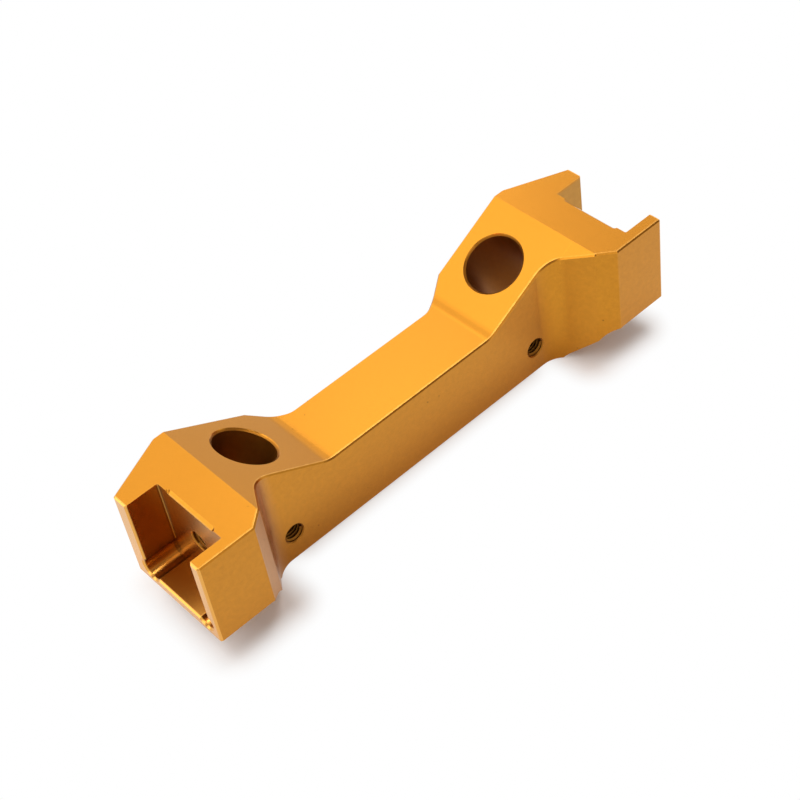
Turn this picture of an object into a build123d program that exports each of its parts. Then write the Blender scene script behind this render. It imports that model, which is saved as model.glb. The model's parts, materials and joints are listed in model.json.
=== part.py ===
from build123d import *
import math
import os

# One-piece machined cross-member: a straight bar whose two ends are raised and
# widened into blocks, each with an open pocket in its end face, an angled bore
# through its sloping shoulder and two tapped holes. Millimetres, +Z up, +X along
# the bar, -Y the side with the two front tapped holes. The origin is the middle
# of the bar's underside. The two ends are mirror images of each other.

# Side view: the bar, the sloping shoulders and the raised ends
bar_flat_length = 30.5      # flat top of the bar between the two slope feet
bar_height = 12.8
slope_run = 15.5            # level distance from the slope's foot to its ridge
slope_rise = 8.5
end_run = 11.25             # level top from the ridge to the end face
end_lift = 6.4              # underside of the ends above the underside of the bar
end_underside_length = 10.0
lift_angle = 56.0           # steepness of the underside where it steps up
slope_foot_radius = 4.0
lift_radius = 3.5

# Plan view: the front swells out to a deep cheek, the back to a shallow boss
bar_depth = 11.0
front_reach = 8.05          # front cheek beyond the bar's front face
front_cheek_length = 9.0
cheek_corner_run = 2.45     # small facet between the cheek and the flare
cheek_corner_depth = 2.05
front_flare_angle = 60.0
back_reach = 3.15           # back boss beyond the bar's back face
back_flare_angle = 30.0
boss_length = 13.9
end_taper_length = 9.6
end_taper_depth = 4.25
front_flare_radius = 4.2
back_flare_radius = 3.0
boss_corner_radius = 0.8
mouth_corner_radius = 0.4   # upright outer corners of the end face

# Pocket in each end, open at the end face and at the top
pocket_depth = 5.25
front_wall = 1.9
back_wall = 2.6
floor_thickness = 1.7
pocket_corner_radius = 0.25 # upright inner corners
relief_radius = 1.6         # round relief along both bottom corners
relief_inset = 0.9          # relief's centre from the wall and from the floor
lead_in = 0.45              # bevel along the top of the pocket's inner wall
lead_in_margin = 1.6        # plain length left at each end of the bevel
mouth_chamfer = 0.3

# Angled bore, square to the slope
bore_diameter = 9.0
bore_up_slope = 9.1         # bore's centre from the slope's foot, along the slope
bore_offset = 1.7           # bore's centre behind the middle of the bar
bore_chamfer = 0.3

# M3 tapped holes
thread_diameter = 3.0
thread_core = 2.5
thread_mouth = 3.3          # width of the countersink at each mouth
front_hole_spacing = 46.6
front_hole_height = 4.7
front_hole_depth = 5.0
pocket_hole_height = 7.0    # above the pocket's floor
pocket_hole_depth = 8.0
core_run_on = 0.8           # core drilled on past the full thread
drill_point_angle = 118.0

edge_break = 0.2            # small chamfer on the outer edges

# Stations that follow from the sizes
slope_foot_x = bar_flat_length / 2
ridge_x = slope_foot_x + slope_run
end_x = ridge_x + end_run
end_top = bar_height + slope_rise
slope_angle = math.degrees(math.atan2(slope_rise, slope_run))
lift_top_x = end_x - end_underside_length
lift_foot_x = lift_top_x - end_lift / math.tan(math.radians(lift_angle))

front_y = -bar_depth / 2
cheek_y = front_y - front_reach
cheek_x = end_x - front_cheek_length
facet_x = cheek_x - cheek_corner_run
facet_y = cheek_y + cheek_corner_depth
front_flare_x = facet_x - (front_y - facet_y) / math.tan(math.radians(front_flare_angle))

back_y = bar_depth / 2
boss_y = back_y + back_reach
taper_x = end_x - end_taper_length
boss_x = taper_x - boss_length
back_flare_x = boss_x - back_reach / math.tan(math.radians(back_flare_angle))
mouth_back_y = boss_y - end_taper_depth

pocket_x = end_x - pocket_depth
pocket_front_y = cheek_y + front_wall
pocket_back_y = mouth_back_y - back_wall
pocket_width = pocket_back_y - pocket_front_y
pocket_middle_y = (pocket_front_y + pocket_back_y) / 2
pocket_floor_z = end_lift + floor_thickness
pocket_height = end_top - pocket_floor_z

bore_x = slope_foot_x + bore_up_slope * math.cos(math.radians(slope_angle))
bore_z = bar_height + bore_up_slope * math.sin(math.radians(slope_angle))
overrun = 2.0               # how far each cut runs past the face that it opens


def at_station(shape_vertices, station):
    """Corners of an outline that lie at this distance on either side of the middle."""
    return [v for v in shape_vertices if abs(abs(v.X) - station) < 0.001]


def tapped_hole(depth):
    """Cutter for a blind tapped hole, its mouth at the origin and its tip towards -Z."""
    mouth, wall, core = thread_mouth / 2, thread_diameter / 2, thread_core / 2
    core_end = depth + core_run_on
    tip = core_end + core / math.tan(math.radians(drill_point_angle / 2))
    with BuildPart() as cutter:
        with BuildSketch(Plane.XZ):
            with BuildLine():
                Polyline(
                    (0, overrun),
                    (mouth + overrun, overrun),
                    (wall, -(mouth - wall)),
                    (wall, -depth),
                    (core, -depth - (wall - core)),
                    (core, -core_end),
                    (0, -tip),
                    close=True,
                )
            make_face()
        revolve(axis=Axis.Z)
    return cutter.part


front_hole = tapped_hole(front_hole_depth)
pocket_hole = tapped_hole(pocket_hole_depth)

with BuildPart() as cross_member:
    # Plan outline, full height
    with BuildSketch(Plane.XY) as plan:
        half_plan = [
            (front_flare_x, front_y),
            (facet_x, facet_y),
            (cheek_x, cheek_y),
            (end_x, cheek_y),
            (end_x, mouth_back_y),
            (taper_x, boss_y),
            (boss_x, boss_y),
            (back_flare_x, back_y),
        ]
        with BuildLine():
            Polyline(half_plan, [(-x, y) for x, y in reversed(half_plan)], close=True)
        make_face()
        fillet(at_station(plan.vertices(), front_flare_x), front_flare_radius)
        fillet(at_station(plan.vertices(), back_flare_x), back_flare_radius)
        fillet(at_station(plan.vertices(), taper_x), boss_corner_radius)
        fillet(at_station(plan.vertices(), end_x), mouth_corner_radius)
    extrude(amount=end_top)

    # Side outline, kept where the two meet
    with BuildSketch(Plane.XZ) as side_view:
        half_side = [
            (lift_foot_x, 0),
            (lift_top_x, end_lift),
            (end_x, end_lift),
            (end_x, end_top),
            (ridge_x, end_top),
            (slope_foot_x, bar_height),
        ]
        with BuildLine():
            Polyline(half_side, [(-x, z) for x, z in reversed(half_side)], close=True)
        make_face()
        fillet(at_station(side_view.vertices(), slope_foot_x), slope_foot_radius)
        fillet(at_station(side_view.vertices(), lift_top_x), lift_radius)
    extrude(amount=boss_y - cheek_y, both=True, mode=Mode.INTERSECT)

    # Small chamfers along the top and the bottom edges of both sides
    crossing = cross_member.edges().filter_by(Axis.Z) + cross_member.edges().filter_by(Axis.Y)
    chamfer(cross_member.edges() - crossing, edge_break)

    for side in (-1, 1):
        # Pocket with its two relief grooves, and the chamfer round its mouth
        for station, grow, length, taper in (
            (pocket_x, 0, pocket_depth + overrun, 0),
            (end_x, mouth_chamfer, -mouth_chamfer, 45),
        ):
            with BuildSketch(Plane.YZ.offset(side * station)):
                with Locations((pocket_middle_y, pocket_floor_z - grow)):
                    Rectangle(
                        pocket_width + 2 * grow,
                        pocket_height + grow + overrun,
                        align=(Align.CENTER, Align.MIN),
                    )
                with Locations(
                    (pocket_front_y + relief_inset, pocket_floor_z + relief_inset),
                    (pocket_back_y - relief_inset, pocket_floor_z + relief_inset),
                ):
                    Circle(relief_radius + grow)
            extrude(amount=side * length, taper=taper, mode=Mode.SUBTRACT)

        inner_corners = [
            edge
            for edge in cross_member.edges().filter_by(Axis.Z)
            if abs(edge.center().X - side * pocket_x) < 0.001
        ]
        fillet(inner_corners, pocket_corner_radius)

        # Bevel along the top of the pocket's inner wall, run out at both ends
        with BuildSketch(Plane.XY.offset(end_top)):
            with Locations((side * (pocket_x - lead_in), pocket_middle_y)):
                RectangleRounded(
                    2 * (lead_in + overrun),
                    pocket_width - 2 * lead_in_margin,
                    1.5 * lead_in,
                    align=(Align.MIN if side > 0 else Align.MAX, Align.CENTER),
                )
        extrude(amount=-lead_in, taper=45, mode=Mode.SUBTRACT)

        # Bore square to the slope, with a chamfered rim
        bore_plane = Plane(
            origin=(side * bore_x, bore_offset, bore_z),
            x_dir=(0, 1, 0),
            z_dir=(-side * slope_rise, 0, slope_run),
        )
        with Locations(bore_plane):
            CounterSinkHole(bore_diameter / 2, bore_diameter / 2 + bore_chamfer, depth=2 * end_top, counter_sink_angle=90)

        # Tapped holes in the front face and in the pocket's inner wall
        with Locations(Plane(origin=(side * front_hole_spacing / 2, front_y, front_hole_height), z_dir=(0, -1, 0))):
            add(front_hole, mode=Mode.SUBTRACT)
        hole_z = pocket_floor_z + pocket_hole_height
        with Locations(Plane(origin=(side * pocket_x, pocket_middle_y, hole_z), z_dir=(side, 0, 0))):
            add(pocket_hole, mode=Mode.SUBTRACT)

os.makedirs("parts", exist_ok=True)
cross_member.part.label = "cross_member"
export_step(cross_member.part, "parts/cross_member.step")
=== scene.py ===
"""Looks of a one-piece machined cross-member: its anodised finish, the threads in its
tapped holes, and a plain studio to see it in. Metres, in the part's own frame."""

import json
import math

import bpy
from mathutils import Matrix, Vector


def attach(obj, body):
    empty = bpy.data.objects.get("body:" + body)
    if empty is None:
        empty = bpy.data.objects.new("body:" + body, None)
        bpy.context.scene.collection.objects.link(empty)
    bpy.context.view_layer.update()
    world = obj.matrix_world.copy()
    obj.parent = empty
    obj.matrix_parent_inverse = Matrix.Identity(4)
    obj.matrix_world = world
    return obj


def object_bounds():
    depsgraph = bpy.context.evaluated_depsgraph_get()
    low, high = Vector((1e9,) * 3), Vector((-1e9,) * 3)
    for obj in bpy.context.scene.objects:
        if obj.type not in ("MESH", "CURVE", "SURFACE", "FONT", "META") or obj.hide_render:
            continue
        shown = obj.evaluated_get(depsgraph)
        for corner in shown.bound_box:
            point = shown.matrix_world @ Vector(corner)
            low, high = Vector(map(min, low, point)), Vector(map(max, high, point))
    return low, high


bl_info = {
    "name": "Machined Cross-Member",
    "version": (1, 0, 0),
    "blender": (4, 5, 0),
    "location": "View3D > Sidebar > Cross-Member",
    "description": "Anodised finish, screw threads and studio for a machined cross-member",
    "category": "Object",
}

WHITE = (1.0, 1.0, 1.0)

# Lamps: name, bearing from +Y towards +X and height (both in degrees), width, then the
# setting that holds the power and the share of it that this lamp takes
LAMPS = (
    ("back_softbox", 1, 52, 0.75, "back_power", 1.0),
    ("left_softbox", 275, 58, 0.45, "left_power", 1.0),
    ("front_softbox", 184, 33, 0.4, "front_power", 1.0),
    ("left_edge_lamp", 269, 18, 0.2, "edge_power", 1.0),
    ("front_edge_lamp", 216, 48, 0.22, "edge_power", 0.6),
    ("end_edge_lamp", 309, 15, 0.2, "edge_power", 1.0),
    ("low_softbox", 51, 28.5, 0.25, "low_power", 1.0),
    ("left_accent", 330, 50, 0.22, "accent_power", 1.0),
    ("right_accent", 36, 50, 0.12, "accent_power", 0.55),
    ("far_accent", 56, 39, 0.12, "accent_power", 0.25),
    ("overhead_lamp", 110, 75, 0.15, "overhead_power", 1.0),
)
LAMP_DISTANCE = 0.6
LAMP_TARGET = Vector((0.0, 0.0, 0.01))

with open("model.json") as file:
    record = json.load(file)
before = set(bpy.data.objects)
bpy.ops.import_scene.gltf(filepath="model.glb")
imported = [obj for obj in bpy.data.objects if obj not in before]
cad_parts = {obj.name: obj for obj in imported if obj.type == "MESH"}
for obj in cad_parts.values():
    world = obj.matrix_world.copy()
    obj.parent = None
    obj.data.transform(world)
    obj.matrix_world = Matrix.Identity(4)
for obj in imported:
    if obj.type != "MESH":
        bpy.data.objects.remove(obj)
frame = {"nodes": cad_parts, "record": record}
cad_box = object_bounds()
cross_member = frame["nodes"]["cross_member"]
mounts = {mount["name"]: mount for mount in frame["record"]["mounts"]}
right_pocket = frame["record"]["physics"]["openings"][-1]["box_m"]


def spot(mount_name):
    """Place of a mount, in metres."""
    return Vector(mounts[mount_name]["pos_m"])


def heading(mount_name):
    """Direction in which a mount's mate leaves."""
    return Vector(mounts[mount_name]["axis"])


def colour_setting(name, description, default):
    return bpy.props.FloatVectorProperty(
        name=name,
        description=description,
        subtype="COLOR",
        size=3,
        min=0.0,
        max=1.0,
        default=default,
    )


def roughness_setting(name, description, default):
    return bpy.props.FloatProperty(
        name=name, description=description, subtype="FACTOR", min=0.0, max=1.0, default=default
    )


def length_setting(name, description, default):
    return bpy.props.FloatProperty(
        name=name, description=description, unit="LENGTH", precision=6, default=default
    )


def power_setting(name, description, default):
    return bpy.props.FloatProperty(
        name=name, description=description, unit="POWER", default=default
    )


class AnodisedFinish(bpy.types.PropertyGroup):
    tint: colour_setting(
        "Tint", "Colour of the dyed anodic layer over the metal", (0.56, 0.226, 0.018)
    )
    cut_tint: colour_setting("Cut tint", "Colour inside the pockets", (0.49, 0.235, 0.045))
    # Painted shade: the bores and the tapped holes are given this darker colour
    bore_shade_tint: colour_setting(
        "Bore tint",
        "Dark colour inside the angled bores and the tapped holes",
        (0.36, 0.135, 0.015),
    )
    # Paler edge colour: thin-layer wear, and painted highlights along the edges
    wear_and_highlight_tint: colour_setting(
        "Edge tint",
        "Paler colour where the layer is thin, along the sharp edges",
        (0.86, 0.44, 0.10),
    )
    roughness: roughness_setting(
        "Blasted roughness", "Roughness of the bead-blasted outer faces", 0.24
    )
    cut_roughness: roughness_setting(
        "Cut roughness",
        "Roughness inside the pockets, where the cutter's smooth finish shows",
        0.26,
    )
    bore_roughness: roughness_setting(
        "Bore roughness", "Roughness inside the angled bores and the tapped holes", 0.42
    )
    grain_size: length_setting("Grain size", "Width of one dimple left by blasting", 0.00014)
    grain_depth: length_setting(
        "Grain depth", "Depth of the dimples left by blasting", 0.000002
    )
    pit_spacing: length_setting(
        "Pit spacing", "Width of the cells that may hold one small pit", 0.0024
    )
    pit_size: length_setting("Pit size", "Radius of one pit", 0.00008)
    edge_width: length_setting(
        "Edge width", "How far the paler edge colour reaches from an edge", 0.00014
    )


class ThreadSizes(bpy.types.PropertyGroup):
    pitch: length_setting("Pitch", "Distance from one thread to the next", 0.0005)
    core_diameter: length_setting(
        "Core diameter", "Clear width between the thread's crests", 0.0025
    )
    segments: bpy.props.IntProperty(
        name="Segments",
        description="Faces round one turn of the thread",
        min=12,
        max=64,
        default=32,
    )


class StudioSettings(bpy.types.PropertyGroup):
    floor_colour: colour_setting("Floor colour", "Colour of the pale floor", (0.78, 0.77, 0.77))
    shadow_reach: length_setting(
        "Shadow reach", "Distance over which the floor beside the part turns plain white", 0.006
    )
    reflection_reach: length_setting(
        "Reflection reach", "The same distance for the floor's reflection in the part", 0.011
    )
    sky_level: bpy.props.FloatProperty(
        name="Surroundings",
        description="Level of the dim, warm surroundings overhead, above the white horizon",
        min=0.0,
        max=2.0,
        default=0.33,
    )
    back_power: power_setting("Back softbox", "Power of the large softbox behind", 2.15)
    left_power: power_setting("Left softbox", "Power of the softbox high on the left", 1.74)
    front_power: power_setting(
        "Front softbox", "Power of the softbox in front, which lights the front edges", 0.35
    )
    edge_power: power_setting(
        "Edge lamps", "Power of the small lamps that show along the chamfered edges", 0.22
    )
    low_power: power_setting("Low softbox", "Power of the softbox low on the right", 0.19)
    accent_power: power_setting(
        "Accent lamps", "Power of the small lamps behind, which even out the top faces", 0.085
    )
    overhead_power: power_setting(
        "Overhead lamp",
        "Power of the small lamp overhead, which shows in the pocket's grooves",
        0.60,
    )
    camera_place: bpy.props.FloatVectorProperty(
        name="Camera place",
        description="Where the camera stands",
        subtype="TRANSLATION",
        unit="LENGTH",
        size=3,
        default=(-0.096542, -0.139649, 0.182647),
    )
    camera_turn: bpy.props.FloatVectorProperty(
        name="Camera turn",
        description="How the camera is turned",
        subtype="EULER",
        unit="ROTATION",
        size=3,
        default=(0.763616, 0.125026, -0.742381),
    )
    lens: bpy.props.FloatProperty(
        name="Lens",
        description="Focal length in millimetres, on a 36 mm sensor",
        default=77.54,
    )


class Value:
    """Output of a shader node that can be used in an expression."""

    def __init__(self, finish, output):
        self.finish = finish
        self.output = output

    def __add__(self, other):
        return self.finish.maths("ADD", self, other)

    def __radd__(self, other):
        return self.finish.maths("ADD", other, self)

    def __sub__(self, other):
        return self.finish.maths("SUBTRACT", self, other)

    def __rsub__(self, other):
        return self.finish.maths("SUBTRACT", other, self)

    def __mul__(self, other):
        return self.finish.maths("MULTIPLY", self, other)

    def __rmul__(self, other):
        return self.finish.maths("MULTIPLY", other, self)

    def __truediv__(self, other):
        return self.finish.maths("DIVIDE", self, other)

    def __gt__(self, other):
        return self.finish.maths("GREATER_THAN", self, other)

    def __lt__(self, other):
        return self.finish.maths("LESS_THAN", self, other)


class Finish:
    """One material, or the surroundings, and the nodes that make it."""

    def __init__(self, name, library="materials", shader="Principled BSDF"):
        self.material = getattr(bpy.data, library).new(name)
        self.material.use_nodes = True
        self.tree = self.material.node_tree
        self.shader = self.tree.nodes[shader]

    def node(self, kind, settings=None, sockets=None):
        """Adds a node: its settings are set first, then its sockets' values or links."""
        made = self.tree.nodes.new("ShaderNode" + kind)
        for key, value in (settings or {}).items():
            setattr(made, key, value)
        for key, value in (sockets or {}).items():
            self.feed(made.inputs[key], value)
        return made

    def feed(self, socket, value):
        """Links a value of this material to a socket, or sets a plain one on it."""
        if isinstance(value, Value):
            self.tree.links.new(value.output, socket)
        elif hasattr(value, "__len__") and len(value) == 3 and socket.type == "RGBA":
            socket.default_value = (*value, 1.0)
        else:
            socket.default_value = value

    def value(self, made, output=0):
        return Value(self, made.outputs[output])

    def maths(self, operation, *terms, clamp=False):
        made = self.node("Math", {"operation": operation, "use_clamp": clamp})
        for socket, term in zip(made.inputs, terms):
            self.feed(socket, term)
        return self.value(made)

    def greatest(self, first, *others):
        for other in others:
            first = self.maths("MAXIMUM", first, other)
        return first

    def clamp(self, term):
        return self.maths("ADD", term, 0.0, clamp=True)

    def ease(self, share):
        """The same share with a gentle start and stop."""
        return share * share * (3.0 - 2.0 * share)

    def between(self, term, low, high, soft):
        """Mask that is 1 between two limits and fades out over a soft width."""
        rise = self.clamp((term - low) / soft)
        fall = self.clamp((high - term) / soft)
        return rise * fall

    def vector(self, operation, *terms, output="Vector"):
        made = self.node("VectorMath", {"operation": operation})
        for socket, term in zip(made.inputs, terms):
            self.feed(socket, term)
        return self.value(made, output)

    def scaled(self, colour, share):
        """A colour made darker or paler by a number or a mask."""
        sockets = {"Vector": colour, "Scale": share}
        return self.value(self.node("VectorMath", {"operation": "SCALE"}, sockets))

    def mix(self, share, first, second):
        """Blend of two colours, by a number or a mask."""
        sockets = {"Factor": share, 6: first, 7: second}
        return self.value(self.node("Mix", {"data_type": "RGBA"}, sockets), 2)

    def blend(self, share, other):
        """Puts another shader over what the surface shows so far, by a number or a mask."""
        surface = self.tree.nodes["Material Output"].inputs["Surface"]
        under = Value(self, surface.links[0].from_socket)
        made = self.node("MixShader", sockets={0: share, 1: under, 2: other})
        self.feed(surface, self.value(made))

    def place(self):
        """Place of the point on the piece, in metres."""
        return self.value(self.node("TexCoord"), "Object")

    def parts(self, vector):
        made = self.node("SeparateXYZ", sockets={"Vector": vector})
        return [self.value(made, axis) for axis in "XYZ"]

    def noise(self, place, size, detail=2.0, rough=0.5):
        """Soft noise of about this feature size, in metres, from 0 to 1."""
        sockets = {"Vector": place, "Scale": 1.0 / size, "Detail": detail, "Roughness": rough}
        return self.value(self.node("TexNoise", {"noise_dimensions": "3D"}, sockets), "Fac")


def pocket_mask(finish, reach, y, z):
    """1 on every face inside the two pockets and their relief grooves."""
    behind_wall = 0.0002
    short_of_mouth = 0.0002     # the chamfer round the mouth keeps the outer finish
    relief = 0.0009             # room for the grooves past the walls and below the floor
    below_top = 0.0003
    soft = 0.00005
    low, high = right_pocket
    along = finish.between(reach, low[0] - behind_wall, high[0] - short_of_mouth, soft)
    across = finish.between(y, low[1] - relief, high[1] + relief, soft)
    upright = finish.between(z, low[2] - relief, high[2] - below_top, soft)
    return along * across * upright


def corner_shade_mask(finish, reach, y):
    """1 near the upright inner corner at the back of each pocket, where the colour is darkened
    as painted shade.
    """
    width = 0.0003
    low, high = right_pocket
    return (y > high[1] - width) * (reach < low[0] + width)


def hole_mask(finish, folded, name):
    """1 on the walls of one hole at the right end, given places folded onto that end."""
    chamfer_mm = 0.18       # part of the mouth's chamfer that takes the hole's painted shade
    core_run_on_mm = 0.8    # core drilled on past the full thread
    sizes = mounts[name]["dims"]
    arm = finish.vector("SUBTRACT", folded, spot(name))
    across = finish.vector("CROSS_PRODUCT", arm, heading(name))
    radial = finish.vector("LENGTH", across, output="Value")
    along = finish.vector("DOT_PRODUCT", arm, heading(name), output="Value")
    deepest = -(sizes["length_mm"] + core_run_on_mm) / 1000
    return (radial < (sizes["r_mm"] + chamfer_mm) / 1000) * (along > deepest)


def all_holes_mask(finish, reach, y, z):
    """1 on the walls of the angled bores and of the tapped holes, at both ends."""
    folded = finish.value(finish.node("CombineXYZ", sockets={"X": reach, "Y": y, "Z": z}))
    found = hole_mask(finish, folded, "slope_bore_right")
    for name in ("front_thread_right", "pocket_thread_right"):
        found = found + hole_mask(finish, folded, name)
    return finish.clamp(found)


def pit_mask(finish, place, settings):
    """1 in a few sparse, small pits of different sizes."""
    rarity = 0.72
    cells = finish.node(
        "TexVoronoi", sockets={"Vector": place, "Scale": 1.0 / settings.pit_spacing}
    )
    chance, _, _ = finish.parts(finish.value(cells, "Color"))
    rim = settings.pit_size / settings.pit_spacing * (0.5 + chance)
    return (finish.value(cells, "Distance") < rim) * (chance > rarity)


def pass_line_highlight_mask(finish, x, y, z):
    """1 on the faint line where two passes of the cutter met, on the right slope; the line is
    painted lighter, a painted highlight.
    """
    front, back, side_fade = -0.00722, -0.00708, 0.00006
    lower_end, upper_end, end_fade = 0.0270, 0.0307, 0.0004
    above_flare = 0.0188
    across = finish.between(y, front, back, side_fade)
    along = finish.between(x, lower_end, upper_end, end_fade)
    return across * along * (z > above_flare)


def worn_and_highlit_edge_mask(finish, normal, mottle, settings):
    """Mask of the sharp edges, uneven along their length: partly thin-layer wear, partly
    painted highlight lines.
    """
    least_turn = 0.97           # cosine of the turn at which the paler colour begins
    rounded = finish.node("Bevel", {"samples": 6}, {"Radius": settings.edge_width})
    turn = finish.vector("DOT_PRODUCT", finish.value(rounded), normal, output="Value")
    patchiness = finish.clamp(mottle * 2.2 - 0.35)
    return finish.clamp((least_turn - turn) * 6.0) * patchiness


def end_rim_highlight_mask(finish, reach):
    """1 on the chamfers round the two end faces, which are painted paler as a highlight."""
    width, soft = 0.00035, 0.00005
    return finish.clamp((reach - cad_box[1][0] + width) / soft)


def front_edge_highlight_mask(finish, upward, y, mottle, settings):
    """Painted highlight: thin pale line along the upper faces where they turn down to the
    front.
    """
    near_front = -0.004
    least_lean = 0.1            # how far the rounded edge leans forwards where the line begins
    rounded = finish.node("Bevel", {"samples": 6}, {"Radius": settings.edge_width * 3.5})
    _, sideways, _ = finish.parts(finish.value(rounded))
    turning = finish.clamp((-least_lean - sideways) * 7.5)
    patchiness = finish.clamp(mottle * 3.0 - 0.6)
    return turning * upward * (y < near_front) * patchiness


def anodise(name, settings, painted_shade_level=1.0):
    """Gold-orange anodised aluminium: blasted outside, cutter's finish inside, with painted
    shade in the holes and a pocket corner and painted highlights along edges.
    """
    drift_size = 0.014
    mottle_size = 0.0008
    level_face = 0.85           # upward part of the normal on a face that is about level
    feed_line_scale = 1300.0
    finish = Finish(name)
    shader = finish.shader
    place = finish.place()
    x, y, z = finish.parts(place)
    reach = finish.maths("ABSOLUTE", x)
    normal = finish.value(finish.node("NewGeometry"), "True Normal")
    upward = finish.parts(normal)[2] > level_face

    bore = all_holes_mask(finish, reach, y, z)
    cut = pocket_mask(finish, reach, y, z) * (1.0 - bore)

    # Dye: slow drift over the part, mottle that shows less from above, and a little
    # difference from dimple to dimple
    drift = finish.noise(place, drift_size)
    mottle = finish.noise(place, mottle_size, detail=3.0, rough=0.7)
    grain = finish.noise(place, settings.grain_size, rough=0.6)
    tone = 0.94 + 0.07 * drift + 0.05 * grain + (0.30 - 0.24 * upward) * (mottle - 0.5)
    dye_and_bore_shade = finish.mix(cut, settings.tint, settings.cut_tint)
    # The bores and the tapped holes take the darker tint: painted shade in them
    dye_and_bore_shade = finish.mix(bore, dye_and_bore_shade, settings.bore_shade_tint)

    pitted = pit_mask(finish, place, settings) * (1.0 - cut) * (1.0 - bore)
    # Painted highlight: the pass line is made lighter
    line = pass_line_highlight_mask(finish, x, y, z)
    # Painted shade: the pocket's back corner is darkened
    corner = corner_shade_mask(finish, reach, y) * cut
    pits_and_painted_light = (1.0 - 0.6 * pitted) * (1.0 + 0.14 * line) * (1.0 - 0.35 * corner)
    tinted = finish.scaled(dye_and_bore_shade, painted_shade_level * tone * pits_and_painted_light)

    # Edges: paler where the surface turns sharply, partly a thinner layer and partly painted
    # highlight lines; on the front top edges and the end chamfers it is a painted highlight
    edge = worn_and_highlit_edge_mask(finish, normal, mottle, settings)
    rim = end_rim_highlight_mask(finish, reach) * (1.0 - cut)
    front_edge_highlight = front_edge_highlight_mask(finish, upward, y, mottle, settings)
    pale = finish.greatest(edge * 0.7, rim * 0.75, front_edge_highlight)
    finish.feed(shader.inputs["Base Color"], finish.mix(pale, tinted, settings.wear_and_highlight_tint))

    shader.inputs["Metallic"].default_value = 1.0
    rough = settings.roughness + cut * (settings.cut_roughness - settings.roughness)
    rough = rough + bore * (settings.bore_roughness - settings.roughness)
    rough = rough + (grain - 0.5) * 0.08 * (1.0 - cut) + (drift - 0.5) * 0.05 - edge * 0.06
    finish.feed(shader.inputs["Roughness"], rough)
    finish.feed(shader.inputs["Coat Weight"], 0.06 * (1.0 - finish.clamp(cut + bore)))
    shader.inputs["Coat Roughness"].default_value = 0.32
    shader.inputs["Coat IOR"].default_value = 1.6

    # Relief: blasting dimples outside, fine feed lines of the cutter inside
    feed_lines = finish.node(
        "TexWave",
        {"wave_type": "BANDS", "bands_direction": "Z", "wave_profile": "SIN"},
        {"Vector": place, "Scale": feed_line_scale, "Distortion": 0.3, "Detail": 0.0},
    )
    relief = grain * (1.0 - cut) + finish.value(feed_lines, "Fac") * cut * 0.04
    depth = settings.grain_depth
    bump = finish.node("Bump", sockets={"Strength": 1.0, "Distance": depth, "Height": relief})
    finish.feed(shader.inputs["Normal"], finish.value(bump, "Normal"))
    return finish.material


def dress(piece, material):
    """Puts one material on every face of a piece."""
    piece.data.materials.clear()
    piece.data.materials.append(material)


class CROSSMEMBER_OT_anodise_body(bpy.types.Operator):
    """Give the cross-member its bead-blasted, anodised finish"""

    bl_idname = "crossmember.anodise_body"
    bl_label = "Anodise Body"

    def execute(self, context):
        settings = context.scene.crossmember_finish
        dress(cross_member, anodise("anodised_aluminium", settings))
        return {"FINISHED"}


def pick(piece, test):
    """In edit mode, selects only the vertices that pass a test on their place."""
    bpy.ops.object.mode_set(mode="EDIT")
    bpy.ops.mesh.select_mode(type="VERT")
    bpy.ops.mesh.select_all(action="DESELECT")
    bpy.ops.object.mode_set(mode="OBJECT")
    for vertex in piece.data.vertices:
        vertex.select = test(vertex.co)
    bpy.ops.object.mode_set(mode="EDIT")


def thread_ridge(name, length, major_radius, sizes):
    """Helical ridge that lines a tapped hole, mouth at the origin and tip towards -Z."""
    seat = 0.00004              # how far the root sinks into the wall
    root_width = sizes.pitch * 0.86
    crest_share = 0.22          # width of the crest as a share of the root's
    first_turn = sizes.pitch * 0.7
    core_radius = sizes.core_diameter / 2
    turns = int(length / sizes.pitch) - 1
    depth = major_radius + seat - core_radius
    bpy.ops.object.select_all(action="DESELECT")
    bpy.ops.mesh.primitive_plane_add(size=1.0, rotation=(math.radians(90), 0, 0))
    piece = bpy.context.object
    piece.name = name
    piece.data.name = name
    piece.scale = (depth, root_width, 1.0)
    piece.location = (core_radius + depth / 2, 0, -first_turn - turns * sizes.pitch)
    bpy.ops.object.transform_apply(location=True, rotation=True, scale=True)

    # Crest narrower than the root
    pick(piece, lambda place: place.x < core_radius + depth / 2)
    bpy.ops.transform.resize(value=(1.0, 1.0, crest_share))
    bpy.ops.object.mode_set(mode="OBJECT")

    bpy.ops.object.modifier_add(type="SCREW")
    screw = piece.modifiers[-1]
    screw.axis = "Z"
    screw.angle = math.radians(360)
    screw.screw_offset = sizes.pitch
    screw.iterations = turns
    screw.steps = sizes.segments
    screw.render_steps = sizes.segments
    screw.use_merge_vertices = False
    bpy.ops.object.modifier_apply(modifier=screw.name)

    # Turns joined, ends closed, faces turned outwards
    bpy.ops.object.mode_set(mode="EDIT")
    bpy.ops.mesh.select_all(action="SELECT")
    bpy.ops.mesh.remove_doubles(threshold=0.000001)
    bpy.ops.mesh.select_all(action="SELECT")
    bpy.ops.mesh.fill_holes(sides=4)
    bpy.ops.mesh.select_all(action="SELECT")
    bpy.ops.mesh.normals_make_consistent(inside=False)
    bpy.ops.object.mode_set(mode="OBJECT")
    bpy.ops.object.shade_smooth_by_angle(angle=math.radians(40))
    return piece


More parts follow.
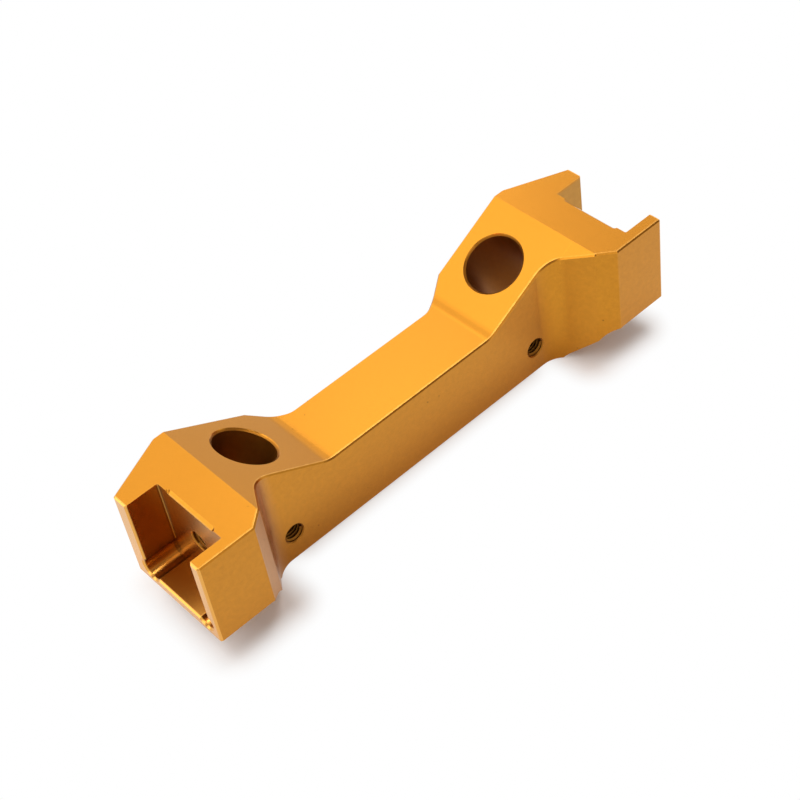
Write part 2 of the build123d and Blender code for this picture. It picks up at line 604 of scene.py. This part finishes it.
class CROSSMEMBER_OT_cut_threads(bpy.types.Operator):
    """Line the four tapped holes with their screw threads"""

    bl_idname = "crossmember.cut_threads"
    bl_label = "Cut Threads"

    def execute(self, context):
        sizes = context.scene.crossmember_threads
        finish = context.scene.crossmember_finish
        # Threads are darkened to 0.6 as painted shade inside their holes
        material = anodise("anodised_thread", finish, painted_shade_level=0.6)
        tapped = [mount for mount in mounts.values() if mount["kind"] == "threaded_hole"]

        # One ridge for each length, copied for the hole at the other end
        patterns = {}
        for mount in tapped:
            length = mount["dims"]["length_mm"] / 1000
            radius = mount["dims"]["r_mm"] / 1000
            name = mount["name"] + "_ridge"
            if length in patterns:
                piece = patterns[length].copy()
                piece.data = patterns[length].data.copy()
                piece.name = piece.data.name = name
                context.collection.objects.link(piece)
            else:
                piece = thread_ridge(name, length, radius, sizes)
                patterns[length] = piece
            dress(piece, material)

        # Ridges moved into their holes, once every copy is made
        for mount in tapped:
            piece = bpy.data.objects[mount["name"] + "_ridge"]
            outwards = heading(mount["name"]).to_track_quat("Z", "Y").to_matrix().to_4x4()
            piece.data.transform(Matrix.Translation(spot(mount["name"])) @ outwards)
            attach(piece, "root")
        return {"FINISHED"}


def softbox(name, bearing, height, size, power):
    """Square area lamp that faces the part."""
    bearing, height = math.radians(bearing), math.radians(height)
    level = LAMP_DISTANCE * math.cos(height)
    place = Vector(
        (
            level * math.sin(bearing),
            level * math.cos(bearing),
            LAMP_DISTANCE * math.sin(height),
        )
    )
    turn = (place - LAMP_TARGET).to_track_quat("Z", "Y").to_euler()
    bpy.ops.object.light_add(type="AREA", location=place, rotation=turn)
    lamp = bpy.context.object
    lamp.name = name
    lamp.data.shape = "SQUARE"
    lamp.data.size = size
    lamp.data.energy = power


def distance_to_part(paper, margin):
    """Distance of a point of the floor from the plan of the bar and of its two ends, less
    a margin."""
    x, y, _ = paper.parts(paper.place())
    reach = paper.maths("ABSOLUTE", x)
    low, high = cad_box
    bar_plan = (0.0, 0.024, -0.0055, 0.0055)    # inner end, outer end, front, back
    end_plan = (0.030, high[0], low[1], high[1])
    blend_width = 0.004
    distances = []
    for inner, outer, front, back in (bar_plan, end_plan):
        over_x = paper.greatest(inner - reach, reach - (outer - margin), 0.0)
        over_y = paper.greatest((front + margin) - y, y - (back - margin), 0.0)
        distances.append(paper.maths("SQRT", over_x * over_x + over_y * over_y))
    return paper.maths("SMOOTH_MIN", *distances, blend_width)


def add_floor(context, settings):
    """Pale floor that turns plain white a little way from the part."""
    floor_size = 6.0
    clearance = 0.00002
    touching = 0.0001           # mirrored rays shorter than this stay at the contact itself
    shadow_margin = 0.003       # how far under the part its shadow starts to fade
    bpy.ops.object.select_all(action="DESELECT")
    bpy.ops.mesh.primitive_plane_add(size=floor_size, location=(0, 0, -clearance))
    floor = context.object
    floor.name = "studio_floor"
    paper = Finish("pale_floor")
    paper.shader.inputs["Base Color"].default_value = (*settings.floor_colour, 1.0)
    paper.shader.inputs["Roughness"].default_value = 0.9
    paper.shader.inputs["Specular IOR Level"].default_value = 0.1

    # White share: the shadow shows to the camera, and a wider one in the part's reflections
    rays = paper.node("LightPath")
    mirrored = paper.value(rays, "Is Glossy Ray") + paper.value(rays, "Is Transmission Ray")
    share = mirrored * (paper.value(rays, "Ray Length") < touching)
    for seen, margin, reach in (
        (paper.value(rays, "Is Camera Ray"), shadow_margin, settings.shadow_reach),
        (mirrored, 0.0, settings.reflection_reach),
    ):
        fade = paper.clamp(distance_to_part(paper, margin) / reach)
        share = share + paper.ease(fade) * seen
    white = paper.node("Emission", sockets={"Color": WHITE, "Strength": 1.0})
    paper.blend(paper.clamp(share), paper.value(white))

    # Seen from below, the floor lets the part's underside show
    below = paper.value(paper.node("NewGeometry"), "Backfacing")
    paper.blend(below, paper.value(paper.node("BsdfTransparent")))
    dress(floor, paper.material)


def add_surroundings(context, settings):
    """White near the horizon, dim and slightly warm overhead."""
    horizon_top = 0.12
    change = 0.28
    warmth = (1.0, 0.84, 0.72)
    sky = Finish("studio", "worlds", "Background")
    _, _, rise = sky.parts(sky.value(sky.node("TexCoord"), "Generated"))
    climb = sky.clamp((rise - horizon_top) / change)
    overhead = [settings.sky_level * share for share in warmth]
    sky.feed(sky.shader.inputs["Color"], sky.mix(sky.ease(climb), WHITE, overhead))
    sky.shader.inputs["Strength"].default_value = 1.0
    context.scene.world = sky.material


def add_camera(context, settings):
    """Camera at the place from which the part is shown, and the plain view transform."""
    bpy.ops.object.camera_add(location=settings.camera_place, rotation=settings.camera_turn)
    camera = context.object
    camera.name = "studio_camera"
    camera.data.sensor_width = 36.0
    camera.data.lens = settings.lens
    camera.data.clip_start = 0.01
    camera.data.clip_end = 20.0
    context.scene.camera = camera
    context.scene.view_settings.view_transform = "Standard"


class CROSSMEMBER_OT_set_studio(bpy.types.Operator):
    """Set the pale floor, the soft lamps and the camera"""

    bl_idname = "crossmember.set_studio"
    bl_label = "Set Studio"

    def execute(self, context):
        settings = context.scene.crossmember_studio
        add_floor(context, settings)
        add_surroundings(context, settings)
        for name, bearing, height, size, power, share in LAMPS:
            softbox(name, bearing, height, size, getattr(settings, power) * share)
        add_camera(context, settings)
        return {"FINISHED"}


class CROSSMEMBER_PT_sidebar(bpy.types.Panel):
    """Sizes, colours and steps of the cross-member's looks"""

    bl_idname = "CROSSMEMBER_PT_sidebar"
    bl_label = "Cross-Member"
    bl_space_type = "VIEW_3D"
    bl_region_type = "UI"
    bl_category = "Cross-Member"

    def draw(self, context):
        scene = context.scene
        for step, settings in (
            ("crossmember.anodise_body", scene.crossmember_finish),
            ("crossmember.cut_threads", scene.crossmember_threads),
            ("crossmember.set_studio", scene.crossmember_studio),
        ):
            box = self.layout.box()
            for name in settings.__annotations__:
                box.prop(settings, name)
            box.operator(step)


classes = (
    AnodisedFinish,
    ThreadSizes,
    StudioSettings,
    CROSSMEMBER_OT_anodise_body,
    CROSSMEMBER_OT_cut_threads,
    CROSSMEMBER_OT_set_studio,
    CROSSMEMBER_PT_sidebar,
)


def register():
    for entry in classes:
        bpy.utils.register_class(entry)
    scene = bpy.types.Scene
    scene.crossmember_finish = bpy.props.PointerProperty(type=AnodisedFinish)
    scene.crossmember_threads = bpy.props.PointerProperty(type=ThreadSizes)
    scene.crossmember_studio = bpy.props.PointerProperty(type=StudioSettings)


def unregister():
    scene = bpy.types.Scene
    del scene.crossmember_studio
    del scene.crossmember_threads
    del scene.crossmember_finish
    for entry in reversed(classes):
        bpy.utils.unregister_class(entry)


def main():
    register()
    bpy.ops.crossmember.anodise_body()
    bpy.ops.crossmember.cut_threads()
    bpy.ops.crossmember.set_studio()


if __name__ == "__main__":
    main()
